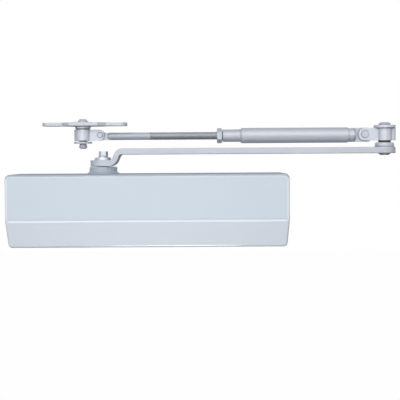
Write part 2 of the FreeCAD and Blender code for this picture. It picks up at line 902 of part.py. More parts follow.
add_circle(sketch, "0", "check_bore_radius", "check_ball_diameter / 4")
pocket(piston, sketch, "head_length + 1")

check_ball = doc.addObject("Part::Sphere", "check_ball")
check_ball.setExpression("Radius", link("check_ball_diameter / 2"))
check_ball.setExpression(
    "Placement.Base.x",
    link("spindle_place + piston_left + head_length - 4 - check_ball_diameter / 2 - press_gap"),
)
check_ball.setExpression("Placement.Base.y", link("spindle_front"))
check_ball.setExpression("Placement.Base.z", link("check_bore_radius"))
check_ball_seat = body_for(
    "check_ball_seat", "spindle_place + piston_left", "spindle_front", "check_bore_radius"
)
turn(
    check_ball_seat,
    box_corners("0.2", "2.6", "check_ball_diameter / 5", "check_ball_diameter / 2 + press_gap"),
    "H_Axis",
)

# Return spring: a wire swept along a helix between the piston and the right end cap.
coil_start = "spindle_place + piston_right + spring_wire / 2 + seal_gap"
coil_length = f"(cap_face - spring_wire / 2 - seal_gap - ({coil_start}))"
helix = doc.addObject("Part::Helix", "spring_line")
helix.setExpression("Radius", link("spring_diameter / 2 - spring_wire / 2"))
helix.setExpression("Height", link(coil_length))
helix.setExpression("Pitch", link(f"{coil_length} / spring_turns"))
wire = doc.addObject("Part::Circle", "spring_section")
wire.setExpression("Radius", link("spring_wire / 2"))
wire.setExpression("Placement.Base.x", link("spring_diameter / 2 - spring_wire / 2"))
wire.Placement.Rotation = FreeCAD.Rotation(FreeCAD.Vector(1, 0, 0), 90)
return_spring = doc.addObject("Part::Sweep", "return_spring")
return_spring.Sections = [wire]
return_spring.Spine = (helix, ["Edge1"])
return_spring.Solid = True
return_spring.Frenet = True
return_spring.Placement.Rotation = FreeCAD.Rotation(FreeCAD.Vector(0, 1, 0), 90)
return_spring.setExpression("Placement.Base.x", link(coil_start))
return_spring.setExpression("Placement.Base.y", link("spindle_front"))

# Main arm: the plan outline grown to full height, then cut above the hub and under the bar.
main_arm = body_for("main_arm", *SHAFT)
sketch = sketch_on(main_arm, "XY", "hub_bottom")
hub = now("hub_diameter / 2")
tail = now("elbow_diameter / 2")
reach = now("arm_length")
tilt = math.asin((hub - tail) / reach)
up = FreeCAD.Vector(math.sin(tilt), math.cos(tilt), 0)
down = FreeCAD.Vector(up.x, -up.y, 0)
far = FreeCAD.Vector(reach, 0, 0)
normal = FreeCAD.Vector(0, 0, 1)
top_angle = math.atan2(up.y, up.x)
hub_circle = Part.Circle(FreeCAD.Vector(0, 0, 0), normal, hub)
hub_arc = Part.ArcOfCircle(hub_circle, top_angle, 2 * math.pi - top_angle)
tail_arc = Part.ArcOfCircle(Part.Circle(far, normal, tail), -top_angle, top_angle)
sketch.addGeometry(hub_arc, False)
sketch.addGeometry(Part.LineSegment(down * hub, far + down * tail), False)
sketch.addGeometry(tail_arc, False)
sketch.addGeometry(Part.LineSegment(far + up * tail, up * hub), False)
for curve in range(4):
    sketch.addConstraint(Sketcher.Constraint("Tangent", curve, 2, (curve + 1) % 4, 1))
sketch.addConstraint(Sketcher.Constraint("Coincident", 0, 3, -1, 1))
bind(sketch, "Radius", 0, 0, "hub_diameter / 2")
bind(sketch, "Radius", 2, 0, "elbow_diameter / 2")
bind(sketch, "DistanceX", 2, 3, "arm_length")
bind(sketch, "DistanceY", 2, 3, "0")
pad(main_arm, sketch, "arm_rise + arm_thickness")
sketch = sketch_on(main_arm, "XZ", "-hub_diameter")
add_loop(
    sketch,
    [
        ("-hub_diameter", "hub_top"),
        ("bend_start", "hub_top"),
        ("bend_start + bend_run", "arm_top"),
        ("bend_start + bend_run", "arm_top + 1"),
        ("-hub_diameter", "arm_top + 1"),
    ],
)
pocket(main_arm, sketch)
sketch = sketch_on(main_arm, "XZ", "-hub_diameter")
add_loop(
    sketch,
    [
        ("bend_start + bend_run * 0.62", "hub_bottom - 1"),
        ("arm_length + elbow_diameter", "hub_bottom - 1"),
        ("arm_length + elbow_diameter", "arm_bottom"),
        ("bend_start + bend_run * 1.62", "arm_bottom"),
        ("bend_start + bend_run * 0.62", "hub_bottom"),
    ],
)
pocket(main_arm, sketch)
bends = (now("hub_top"), now("arm_bottom"))
ease(main_arm, "bend_inner", lambda e: along(e, 1) and any(at(e, 2, z) for z in bends))
outer_bends = (now("hub_bottom"), now("arm_top"))
ease(
    main_arm, "bend_inner + arm_thickness",
    lambda e: along(e, 1) and any(at(e, 2, z) for z in outer_bends),
)
ease(main_arm, "arm_edge", lambda e: not along(e, 1) and not along(e, 2))
sketch = sketch_on(main_arm, "XY", "hub_bottom - 1")
half_square = "square_width / 2 + press_gap"
add_loop(sketch, box_corners(f"-({half_square})", half_square, f"-({half_square})", half_square))
pocket(main_arm, sketch, "arm_thickness + 1.5")
sketch = sketch_on(main_arm, "XY", "arm_bottom - 1")
add_circle(sketch, "arm_length", "0", "elbow_pin / 2 + press_gap")
pocket(main_arm, sketch)

arm_washer = body_for("arm_washer", *SHAFT)
turn(
    arm_washer,
    [
        ("bolt_shank / 2 + press_gap", "hub_top"),
        ("arm_washer_diameter / 2", "hub_top"),
        ("arm_washer_diameter / 2 - arm_washer_slope", "washer_top"),
        ("bolt_shank / 2 + press_gap", "washer_top"),
    ],
)
sketch = sketch_on(arm_washer, "XY", "hub_top - 1")
side = "arm_washer_diameter"
add_loop(sketch, box_corners("bend_start - bend_inner * 0.7", side, f"-{side}", side))
pocket(arm_washer, sketch)
arm_bolt = body_for("arm_bolt", *SHAFT)
turn(
    arm_bolt,
    [
        ("0", "washer_top - bolt_reach"),
        ("bolt_shank / 2 - 0.6", "washer_top - bolt_reach"),
        ("bolt_shank / 2", "washer_top - bolt_reach + 0.6"),
        ("bolt_shank / 2", "washer_top"),
        ("bolt_flange / 2", "washer_top"),
        ("bolt_flange / 2", "washer_top + bolt_flange_height * 0.6"),
        ("bolt_width / 2", "washer_top + bolt_flange_height"),
        ("0", "washer_top + bolt_flange_height"),
    ],
)
sketch = sketch_on(arm_bolt, "XY", "washer_top + bolt_flange_height * 0.5")
add_loop(sketch, [(y, x) for x, y in hexagon("bolt_width")])
sketch.setExpression("AttachmentOffset.Rotation.Angle", link("bolt_turn"))
pad(arm_bolt, sketch, "bolt_head + bolt_flange_height * 0.5")

# Elbow: a riveted pin carries washers, a flanged bush and the folded strap.
ELBOW = ("elbow_place", "spindle_front", "0")
elbow_pin = body_for("elbow_pin", *ELBOW)
turn(
    elbow_pin,
    [
        ("0", "arm_bottom - elbow_foot_height"),
        ("elbow_head * 0.3", "arm_bottom - elbow_foot_height"),
        ("elbow_head * 0.44", "arm_bottom - elbow_foot_height * 0.6"),
        ("elbow_head / 2", "arm_bottom"),
        ("elbow_pin / 2", "arm_bottom"),
        ("elbow_pin / 2", "elbow_head_level"),
        ("elbow_head / 2 - 0.3", "elbow_head_level"),
        ("elbow_head / 2", "elbow_head_level + elbow_head_height * 0.5"),
        ("elbow_head * 0.36", "elbow_head_level + elbow_head_height"),
        ("0", "elbow_head_level + elbow_head_height"),
    ],
)
pin_fit = "elbow_pin / 2 + press_gap"
elbow_lower_washer = ring(
    "elbow_lower_washer", *ELBOW, pin_fit, "elbow_washer / 2", "arm_top", "thrust_level"
)
elbow_thrust_washer = body_for("elbow_thrust_washer", *ELBOW)
turn(
    elbow_thrust_washer,
    [
        (pin_fit, "thrust_level"),
        ("elbow_washer / 2", "thrust_level"),
        ("elbow_washer / 2", "thrust_level + thrust_washer_thickness * 0.5"),
        ("elbow_washer / 2 - 1.2", "bush_level"),
        (pin_fit, "bush_level"),
    ],
)
elbow_top_washer = ring(
    "elbow_top_washer", *ELBOW, pin_fit, "top_washer_diameter / 2", "top_washer_level", "elbow_head_level"
)
elbow_bush = body_for("elbow_bush", *ELBOW)
turn(
    elbow_bush,
    [
        ("elbow_pin / 2 + running_gap", "bush_level + joint_gap / 2"),
        ("bush_flange / 2", "bush_level + joint_gap / 2"),
        ("bush_flange / 2", "strap_bottom - joint_gap / 4"),
        ("elbow_barrel / 2 - strap_thickness - press_gap", "strap_bottom - joint_gap / 4"),
        ("elbow_barrel / 2 - strap_thickness - press_gap", "strap_top"),
        ("elbow_pin / 2 + running_gap", "strap_top"),
    ],
)


def strap(label, spot, low, height, barrel, nose, rivet, tongue, side):
    """Sheet folded around a bush: a barrel, a nose on one side and two legs on the other."""
    body = body_for(label, *spot)
    sign = "-" if side < 0 else ""
    other = "" if side < 0 else "-"
    sketch = sketch_on(body, "XY", low)
    add_circle(sketch, "0", "0", f"{barrel} / 2")
    pad(body, sketch, height)
    sketch = sketch_on(body, "XY", low)
    add_circle(sketch, f"{other}({nose} - leg_outer)", "0", "leg_outer")
    pad(body, sketch, height)
    span = sorted([f"{sign}{tongue}", f"{other}({nose} - leg_outer)"], key=now)
    sketch = sketch_on(body, "XY", low)
    add_loop(sketch, box_corners(*span, "-leg_outer", "leg_outer"))
    pad(body, sketch, height)
    sketch = sketch_on(body, "XY", f"{low} - 1")
    add_circle(sketch, "0", "0", f"{barrel} / 2 - strap_thickness")
    pocket(body, sketch)
    span = sorted([f"{sign}({tongue} + 1)", f"{other}({nose} - leg_outer)"], key=now)
    sketch = sketch_on(body, "XY", f"{low} - 1")
    add_loop(sketch, box_corners(*span, "-leg_inner", "leg_inner"))
    pocket(body, sketch)
    end = now(f"{sign}{tongue}")
    corner = f"min({height} * 0.48; {tongue} - {rivet} + 1)"
    ease(body, corner, lambda e: along(e, 1) and at(e, 0, end))
    sketch = sketch_on(body, "XZ", "-leg_outer - 1")
    add_circle(sketch, f"{sign}{rivet}", f"{low} + {height} / 2", "rivet_shank / 2 + press_gap")
    pocket(body, sketch)
    return body


elbow_strap = strap(
    "elbow_strap", ELBOW, "strap_bottom", "elbow_strap_height", "elbow_barrel",
    "elbow_nose", "elbow_reach", "elbow_tongue", -1,
)


def cross_rivet(label, x, level, head):
    """Rivet through a strap's two legs, turned upright and laid along Y."""
    body = body_for(label, x, "spindle_front", level)
    body.Placement.Rotation = FreeCAD.Rotation(FreeCAD.Vector(1, 0, 0), 90)
    rise = "leg_outer + rivet_head_height"
    turn(
        body,
        [
            ("0", f"-({rise})"),
            (f"{head} / 2 - rivet_slope", f"-({rise})"),
            (f"{head} / 2", "-leg_outer"),
            ("rivet_shank / 2", "-leg_outer"),
            ("rivet_shank / 2", "leg_outer"),
            (f"{head} / 2", "leg_outer"),
            (f"{head} / 2 - rivet_slope", rise),
            ("0", rise),
        ],
    )
    return body


elbow_rivet = cross_rivet(
    "elbow_rivet", "elbow_place - elbow_reach", "forearm_level + tang_drop", "elbow_rivet_head"
)

# Forearm: plug and tube on the elbow's side, rod and lock nut on the shoe's side.
FOREARM = ("elbow_place", "spindle_front", "forearm_level")
tube_plug = body_for("tube_plug", *FOREARM)
turn(
    tube_plug,
    [
        ("-plug_end - plug_spigot", "0"),
        ("-plug_start", "0"),
        ("-plug_start", "plug_diameter / 2 - plug_groove_depth"),
        ("-plug_start - plug_groove_width", "plug_diameter / 2 - plug_groove_depth"),
        ("-plug_start - plug_groove_width", "plug_diameter / 2"),
        ("-plug_end", "plug_diameter / 2"),
        ("-plug_end", "tube_diameter / 2 - tube_wall - press_gap"),
        ("-plug_end - plug_spigot", "tube_diameter / 2 - tube_wall - press_gap"),
    ],
    "H_Axis",
)
sketch = sketch_on(tube_plug, "XZ")
add_loop(sketch, box_corners("-plug_start - 1", "-tang_start", "-tang_height / 2", "tang_height / 2"))
pad(tube_plug, sketch, "tang_thickness", middle=True)
tang_end = now("-tang_start")
ease(tube_plug, "tang_corner", lambda e: along(e, 1) and at(e, 0, tang_end))
sketch = sketch_on(tube_plug, "XZ", "-tang_thickness")
add_circle(sketch, "-elbow_reach", "tang_drop", "rivet_shank / 2 + running_gap")
pocket(tube_plug, sketch)

inside = "tube_diameter / 2 - tube_wall"
neck_bore = "thread_diameter / 2 + running_gap"
forearm_tube = body_for("forearm_tube", *FOREARM)
turn(
    forearm_tube,
    [
        ("-plug_end - press_gap", inside),
        ("-plug_end - press_gap", "tube_diameter / 2 - 0.4"),
        ("-plug_end - 0.5", "tube_diameter / 2"),
        ("-tube_left", "tube_diameter / 2"),
        ("-tube_left - tube_shoulder * 0.4", "tube_diameter / 2 - 0.5"),
        ("-tube_left - tube_shoulder", "tube_neck / 2"),
        ("-neck_left + 0.5", "tube_neck / 2"),
        ("-neck_left", "tube_neck / 2 - 0.5"),
        ("-neck_left", neck_bore),
        ("-tube_left + 1", neck_bore),
        ("-tube_left + 3", inside),
    ],
    "H_Axis",
)

lock_nut = body_for("lock_nut", *FOREARM)
sketch = sketch_on(lock_nut, "YZ", "-nut_left")
add_loop(sketch, hexagon("nut_width"))
pad(lock_nut, sketch, "nut_thickness")
sketch = sketch_on(lock_nut, "XZ")
corner = "nut_width / sqrt(3)"
for face, inward in (("-nut_left", "+"), ("-nut_right", "-")):
    add_loop(
        sketch,
        [
            (face, f"{corner} - nut_chamfer * 1.2"),
            (f"{face} {inward} nut_chamfer", f"{corner} + 0.1"),
            (face, f"{corner} + 0.1"),
        ],
    )
chamfer = lock_nut.newObject("PartDesign::Groove", "Chamfer")
chamfer.Profile = sketch
chamfer.ReferenceAxis = (sketch, ["H_Axis"])
doc.recompute()
sketch = sketch_on(lock_nut, "YZ", "-nut_left - 1")
add_circle(sketch, "0", "0", neck_bore)
pocket(lock_nut, sketch)

forearm_rod = body_for("forearm_rod", *FOREARM)
turn(
    forearm_rod,
    [
        ("-eye_place + eye_radius + eye_land", "0"),
        ("-thread_right", "0"),
        ("-thread_right", "thread_diameter / 2 - 0.8"),
        ("-thread_right - 0.8", "thread_diameter / 2"),
        ("-thread_left", "thread_diameter / 2"),
        ("-thread_left - 0.3", "rod_diameter / 2"),
        ("-eye_place + eye_radius + eye_land + 1", "rod_diameter / 2"),
        ("-eye_place + eye_radius + eye_land", "rod_diameter / 2 - 0.9"),
    ],
    "H_Axis",
)
sketch = sketch_on(forearm_rod, "XZ")
half_rod = "rod_diameter / 2"
add_loop(
    sketch,
    box_corners("-eye_place", "-eye_place + eye_radius + eye_land + 2", f"-{half_rod}", half_rod),
)
pad(forearm_rod, sketch, "tang_thickness", middle=True)
sketch = sketch_on(forearm_rod, "XZ")
add_circle(sketch, "-eye_place", "eye_lift", "eye_radius")
pad(forearm_rod, sketch, "tang_thickness", middle=True)
sketch = sketch_on(forearm_rod, "XZ", "-tang_thickness")
add_circle(sketch, "-eye_place", "eye_lift", "rivet_shank / 2 + running_gap")
pocket(forearm_rod, sketch)

# Shoe: strap and bush on the forearm, pin, washers, ring and plate on the door frame.
SHOE = ("shoe_place", "spindle_front", "0")
shoe_strap = strap(
    "shoe_strap", SHOE, "shoe_strap_bottom", "shoe_strap_height", "shoe_barrel",
    "shoe_nose", "shoe_reach", "shoe_tongue", 1,
)
shoe_rivet = cross_rivet(
    "shoe_rivet", "shoe_place + shoe_reach", "forearm_level + eye_lift", "shoe_rivet_head"
)
shoe_bush = body_for("shoe_bush", *SHOE)
turn(
    shoe_bush,
    [
        ("shoe_pin / 2 + running_gap", "ring_top + joint_gap"),
        ("bush_lip / 2", "ring_top + joint_gap"),
        ("bush_lip / 2", "shoe_strap_bottom"),
        ("shoe_barrel / 2 - strap_thickness - press_gap", "shoe_strap_bottom"),
        ("shoe_barrel / 2 - strap_thickness - press_gap", "shoe_strap_top"),
        ("shoe_pin / 2 + running_gap", "shoe_strap_top"),
    ],
)
shoe_pin_fit = "shoe_pin / 2 + press_gap"
shoe_wear_washer = ring(
    "shoe_wear_washer", *SHOE, shoe_pin_fit, "wear_washer_diameter / 2",
    "shoe_strap_top + joint_gap", "wear_top",
)
shoe_washer = ring(
    "shoe_washer", *SHOE, shoe_pin_fit, "shoe_washer_diameter / 2", "wear_top", "shoe_washer_top"
)
shoe_pin = body_for("shoe_pin", *SHOE)
turn(
    shoe_pin,
    [
        ("0", "tip_bottom"),
        ("shoe_tip * 0.3", "tip_bottom"),
        ("shoe_tip / 2", "tip_bottom + 1.2"),
        ("shoe_tip / 2", "tip_top"),
        ("shoe_pin / 2", "tip_top"),
        ("shoe_pin / 2", "shoe_washer_top"),
        ("pin_collar / 2", "shoe_washer_top"),
        ("pin_collar / 2", "plate_bottom"),
        ("shoe_pin / 2", "plate_bottom"),
        ("shoe_pin / 2", "plate_top"),
        ("shoe_head / 2", "plate_top"),
        ("shoe_head * 0.47", "plate_top + shoe_head_height * 0.4"),
        ("shoe_head * 0.28", "plate_top + shoe_head_height"),
        ("0", "plate_top + shoe_head_height"),
    ],
)
shoe_retaining_ring = ring(
    "shoe_retaining_ring",
    *SHOE,
    "shoe_pin / 2 + press_gap",
    "ring_diameter / 2",
    "ring_bottom",
    "ring_top",
)
sketch = sketch_on(shoe_retaining_ring, "XY", "ring_bottom - 1")
half_gap = "shoe_pin / 2 - 0.3"
add_loop(sketch, box_corners(f"-({half_gap})", half_gap, "0", "ring_diameter"))
pocket(shoe_retaining_ring, sketch)

shoe_plate = body_for("shoe_plate", "shoe_place + plate_shift", "spindle_front")
sketch = sketch_on(shoe_plate, "XY", "ear_bottom")
add_loop(
    sketch,
    [
        ("-plate_length / 2", "-plate_ear / 2"),
        ("-flare_end", "-plate_ear / 2"),
        ("-flare_start", "-plate_width / 2"),
        ("flare_start", "-plate_width / 2"),
        ("flare_end", "-plate_ear / 2"),
        ("plate_length / 2", "-plate_ear / 2"),
        ("plate_length / 2", "plate_ear / 2"),
        ("flare_end", "plate_ear / 2"),
        ("flare_start", "plate_width / 2"),
        ("-flare_start", "plate_width / 2"),
        ("-flare_end", "plate_ear / 2"),
        ("-plate_length / 2", "plate_ear / 2"),
    ],
)
pad(shoe_plate, sketch, "plate_thickness")
tips = [now(f"{sign}plate_length / 2") for sign in ("", "-")]
ease(shoe_plate, "ear_corner", lambda e: along(e, 2) and any(at(e, 0, x) for x in tips))
sketch = sketch_on(shoe_plate, "XY", "ear_bottom + plate_thickness - 0.5")
add_circle(sketch, "-plate_shift", "0", "plate_boss / 2")
pad(shoe_plate, sketch, "plate_raise + 0.5")
boss = now("plate_boss / 2")
ease(
    shoe_plate, "plate_raise * 0.9",
    lambda e: ringed(e, boss) and at(e, 2, now("plate_top")), "Chamfer",
)
sketch = sketch_on(shoe_plate, "XY", "ear_bottom - 1")
add_circle(sketch, "-plate_shift", "0", "plate_boss / 2 - 1.6")
pocket(shoe_plate, sketch, "plate_raise + 1")
sketch = sketch_on(shoe_plate, "XY", "ear_bottom - 1")
add_circle(sketch, "-plate_shift", "0", shoe_pin_fit)
add_circle(sketch, "-shoe_hole_spacing / 2", "0", "shoe_hole / 2")
add_circle(sketch, "shoe_hole_spacing / 2", "0", "shoe_hole / 2")
pocket(shoe_plate, sketch)
hole = now("shoe_hole / 2")
ease(
    shoe_plate, "plate_thickness * 0.6",
    lambda e: ringed(e, hole) and at(e, 2, now("ear_bottom")), "Chamfer",
)

NODES = [
    housing, left_end_cap, right_end_cap, end_cap_seals, upper_bearing, lower_bearing,
    upper_shaft_seal, lower_shaft_seal, upper_gland, lower_gland, closing_speed_valve,
    latching_speed_valve, valve_seals, cover, spindle_collar, pinion_shaft, piston, check_ball,
    check_ball_seat, return_spring, main_arm, arm_washer, arm_bolt, elbow_pin, elbow_lower_washer,
    elbow_thrust_washer, elbow_top_washer, elbow_bush, elbow_strap, elbow_rivet, tube_plug,
    forearm_tube, lock_nut, forearm_rod, shoe_strap, shoe_rivet, shoe_bush, shoe_wear_washer,
    shoe_washer, shoe_pin, shoe_retaining_ring, shoe_plate,
]
doc.recompute()
for item in doc.Objects:
    if "Invalid" in item.State or "Error" in item.State:
        raise RuntimeError(f"{item.Label} did not build")
os.makedirs("parts", exist_ok=True)
for node in NODES:
    if node.Shape.isNull() or not node.Shape.isValid():
        raise RuntimeError(f"{node.Label} is not a sound solid")
    node.Shape.exportStep(f"parts/{node.Label}.step")
    box = node.Shape.BoundBox
    spans = " x ".join(f"{span:.1f}" for span in (box.XLength, box.YLength, box.ZLength))
    print(f"{node.Label}: {len(node.Shape.Solids)} solid, {spans}")
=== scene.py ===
# %% [markdown]
# # Dressing a door closer
# The solids come in as a fixed frame: every piece already has its size and its place.
# What is left for Blender is the real screw thread, the finishes and the picture.

# %% Load the frame
import math

import bmesh
import bpy
from mathutils import Matrix, Vector


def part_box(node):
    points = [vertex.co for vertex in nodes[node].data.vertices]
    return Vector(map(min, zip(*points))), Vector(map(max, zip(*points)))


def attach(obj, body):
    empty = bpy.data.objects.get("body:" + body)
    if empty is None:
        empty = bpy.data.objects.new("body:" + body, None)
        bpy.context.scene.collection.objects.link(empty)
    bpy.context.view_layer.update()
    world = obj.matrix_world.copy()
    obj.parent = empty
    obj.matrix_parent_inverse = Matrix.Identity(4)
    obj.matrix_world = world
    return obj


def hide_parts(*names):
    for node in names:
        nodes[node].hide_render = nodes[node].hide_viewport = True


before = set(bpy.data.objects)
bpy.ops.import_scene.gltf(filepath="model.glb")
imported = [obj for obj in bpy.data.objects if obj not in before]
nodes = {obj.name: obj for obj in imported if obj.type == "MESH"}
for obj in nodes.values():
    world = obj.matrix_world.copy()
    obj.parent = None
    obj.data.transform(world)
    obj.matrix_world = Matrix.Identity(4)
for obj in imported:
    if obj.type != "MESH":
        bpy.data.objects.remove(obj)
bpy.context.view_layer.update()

scene = bpy.context.scene
print("pieces in the frame:", len(nodes))

# %% [markdown]
# ## Camera
# The closer is seen from the front, from a little above the cover, with hardly any perspective.
# A long lens from nearly a metre away gives that; a short one close by would show the cover's ends.
# The picture is square, so the lens and the sensor alone set how much it takes in.

# %% Camera
eye = Vector((0.051, -0.8804, 0.04965))
downward = math.radians(2.715)
lean = math.radians(-0.341)
sensor_width = 36
focal_length = 77.16
lens = bpy.data.cameras.new("long_lens")
lens.sensor_width = sensor_width
lens.lens = focal_length
camera = bpy.data.objects.new("camera", lens)
camera.location = eye
upright = Matrix.Rotation(math.pi / 2 - downward, 4, "X")
camera.rotation_euler = (upright @ Matrix.Rotation(lean, 4, "Z")).to_euler()
scene.collection.objects.link(camera)
scene.camera = camera
print("camera stands", round(-eye.y, 2), "m in front of the door")

# %% [markdown]
# ## Floor
# The closer hangs on a door, so the floor lies well below it and shows only as a white ground.

# %% Floor
floor_level = -0.9
floor_reach = 8
floor_mesh = bpy.data.meshes.new("floor")
build = bmesh.new()
bmesh.ops.create_grid(build, x_segments=1, y_segments=1, size=floor_reach)
bmesh.ops.translate(build, verts=build.verts, vec=(0, 0, floor_level))
build.to_mesh(floor_mesh)
build.free()
floor = bpy.data.objects.new("floor", floor_mesh)
scene.collection.objects.link(floor)
print("floor lies at", floor_level)

# %% [markdown]
# ## What the floor looks like
# A floor that is white to the light would shine up under the arms and flatten them. So it is a grey,
# matt floor to the light, and white only to rays that come straight from the camera.
# A hundredth of the grey floor is left in those rays too, so that a shadow can still fall on it.


# %% Ground material
def add_node(tree, kind, values=None, **settings):
    """A new shader node: first its settings are made, then the values of its inputs."""
    node = tree.nodes.new("ShaderNode" + kind)
    for name, setting in settings.items():
        setattr(node, name, setting)
    for socket, value in (values or {}).items():
        node.inputs[socket].default_value = value
    return node


def opaque(tone):
    """A colour of three numbers with a full alpha."""
    return (*tone, 1)


ground_tone = (0.15, 0.15, 0.15)
white_share = 0.99
ground = bpy.data.materials.new("pale_ground")
ground.use_nodes = True
tree = ground.node_tree
tree.nodes.clear()
join = tree.links.new
matt = add_node(tree, "BsdfDiffuse", {"Color": opaque(ground_tone)})
white = add_node(tree, "Emission")
path = add_node(tree, "LightPath")
share = add_node(tree, "Math", {1: white_share}, operation="MULTIPLY")
mix = add_node(tree, "MixShader")
out = add_node(tree, "OutputMaterial")
join(path.outputs["Is Camera Ray"], share.inputs[0])
join(share.outputs[0], mix.inputs["Fac"])
join(matt.outputs[0], mix.inputs[1])
join(white.outputs[0], mix.inputs[2])
join(mix.outputs[0], out.inputs["Surface"])
floor.data.materials.append(ground)
print("nodes of the ground:", len(tree.nodes))

# %% [markdown]
# ## World
# To the camera, and to rays that a surface mirrors or lets through, the world is the white of the
# backdrop. To matt surfaces it is only a dim fill, so that the lamps can draw form.

# %% World
fill_tone = (0.95, 0.97, 1)
fill_strength = 0.03
backdrop_tone = (1, 1, 1)
world = bpy.data.worlds.new("studio")
scene.world = world
world.use_nodes = True
tree = world.node_tree
tree.nodes.clear()
join = tree.links.new
path = add_node(tree, "LightPath")
seen = add_node(tree, "Math", operation="MAXIMUM")
seen_all = add_node(tree, "Math", operation="MAXIMUM")
fill = add_node(tree, "Background", {"Color": opaque(fill_tone), "Strength": fill_strength})
backdrop = add_node(tree, "Background", {"Color": opaque(backdrop_tone)})
mix = add_node(tree, "MixShader")
out = add_node(tree, "OutputWorld")
join(path.outputs["Is Camera Ray"], seen.inputs[0])
join(path.outputs["Is Glossy Ray"], seen.inputs[1])
join(seen.outputs[0], seen_all.inputs[0])
join(path.outputs["Is Transmission Ray"], seen_all.inputs[1])
join(seen_all.outputs[0], mix.inputs["Fac"])
join(fill.outputs[0], mix.inputs[1])
join(backdrop.outputs[0], mix.inputs[2])
join(mix.outputs[0], out.inputs["Surface"])
scene.view_settings.view_transform = "Standard"
print("fill light:", fill_strength)

# %% [markdown]
# ## Lamps
# One large lamp stands in front and above, as a softbox would, and does most of the work. Two weak
# ones at the sides reach the rounded ends of the cover. A long one lower down has its mirror image
# just where the cover is folded, and so draws the bright line there. A narrow beam from below, out of
# a lamp about as wide as the cover, lights the slanted lower facet; the cover itself shades the arms
# above it. A weak one overhead and one behind light the sides that the front lamp doesn't reach.


# %% Lamps
def softbox(name, place, aim, width, height, power, beam=180):
    """A rectangular lamp that faces a point; its beam is an angle in degrees."""
    lamp = bpy.data.lights.new(name, "AREA")
    lamp.shape = "RECTANGLE"
    lamp.size = width
    lamp.size_y = height
    lamp.energy = power
    lamp.spread = math.radians(beam)
    holder = bpy.data.objects.new(name, lamp)
    holder.location = place
    holder.rotation_euler = (Vector(aim) - Vector(place)).to_track_quat("-Z", "Y").to_euler()
    scene.collection.objects.link(holder)


middle = (0.05, -0.03, 0.02)
facet = (0, -0.05, -0.03)
softbox("front_softbox", (-0.2, -1.75, 0.88), middle, width=2.8, height=1.5, power=29.5)
for name, side in (("left_softbox", -1), ("right_softbox", 1)):
    softbox(name, (side * 1.65, -1.1, 0.1), middle, width=1.0, height=1.2, power=3.5)
softbox("fold_softbox", (-0.1, -1.6, -0.54), middle, width=1.1, height=0.4, power=4.0)
softbox("low_softbox", (0, -0.5, -0.78), facet, width=0.26, height=0.5, power=0.17, beam=40)
softbox("top_softbox", (0.1, -0.6, 1.3), middle, width=1.8, height=0.9, power=1.5)
softbox("back_softbox", (0.3, 1.6, 0.7), middle, width=1.8, height=0.9, power=8)

# %% [markdown]
# ## Shared effects: grain
# Three effects come back in several finishes, so each is a node group made once, with named sockets.
# The first is grain: a broad drift of tone and a fine speckle, both in the piece's own coordinates.


# %% Grain group
def new_group(name, inputs, outputs):
    """An empty shader group with number sockets of these names."""
    group = bpy.data.node_groups.new(name, "ShaderNodeTree")
    for label, value in inputs.items():
        socket = group.interface.new_socket(label, in_out="INPUT", socket_type="NodeSocketFloat")
        socket.default_value = value
    for label in outputs:
        group.interface.new_socket(label, in_out="OUTPUT", socket_type="NodeSocketFloat")
    return group, group.nodes.new("NodeGroupInput"), group.nodes.new("NodeGroupOutput")


grain, start, end = new_group("grain", {"Broad Scale": 20, "Fine Scale": 900}, ["Tone", "Speckle"])
join = grain.links.new
place = add_node(grain, "TexCoord")
for scale, detail, result in (("Broad Scale", 2, "Tone"), ("Fine Scale", 3, "Speckle")):
    noise = add_node(grain, "TexNoise", {"Detail": detail})
    join(place.outputs["Object"], noise.inputs["Vector"])
    join(start.outputs[scale], noise.inputs["Scale"])
    join(noise.outputs["Fac"], end.inputs[result])
print("nodes of the grain:", len(grain.nodes))

# %% [markdown]
# ## Shared effects: worn edges
# A rounded normal is compared with the true one, and they differ only near an edge. Noise then breaks
# the mask up into patches. Pointiness would be cheaper than a rounded normal, but it needs joined
# vertices, which the solids lack.

# %% Worn-edge group
rounding_rays = 4
untouched = 0.99
worn_through = 0.8
patch_start = 0.35
patch_full = 0.65
worn_edge, start, end = new_group("worn_edge", {"Radius": 0.0006, "Break Up": 150}, ["Mask"])
join = worn_edge.links.new
rounded = add_node(worn_edge, "Bevel", samples=rounding_rays)
flat = add_node(worn_edge, "NewGeometry")
compare = add_node(worn_edge, "VectorMath", operation="DOT_PRODUCT")
spread = add_node(worn_edge, "MapRange", {"From Min": untouched, "From Max": worn_through})
place = add_node(worn_edge, "TexCoord")
noise = add_node(worn_edge, "TexNoise")
patches = add_node(worn_edge, "MapRange", {"From Min": patch_start, "From Max": patch_full})
patchy = add_node(worn_edge, "Math", operation="MULTIPLY")
join(start.outputs["Radius"], rounded.inputs["Radius"])
join(start.outputs["Break Up"], noise.inputs["Scale"])
join(place.outputs["Object"], noise.inputs["Vector"])
join(rounded.outputs[0], compare.inputs[0])
join(flat.outputs["Normal"], compare.inputs[1])
join(compare.outputs["Value"], spread.inputs["Value"])
join(noise.outputs["Fac"], patches.inputs["Value"])
join(spread.outputs["Result"], patchy.inputs[0])
join(patches.outputs["Result"], patchy.inputs[1])
join(patchy.outputs[0], end.inputs["Mask"])
print("nodes of the worn edge:", len(worn_edge.nodes))
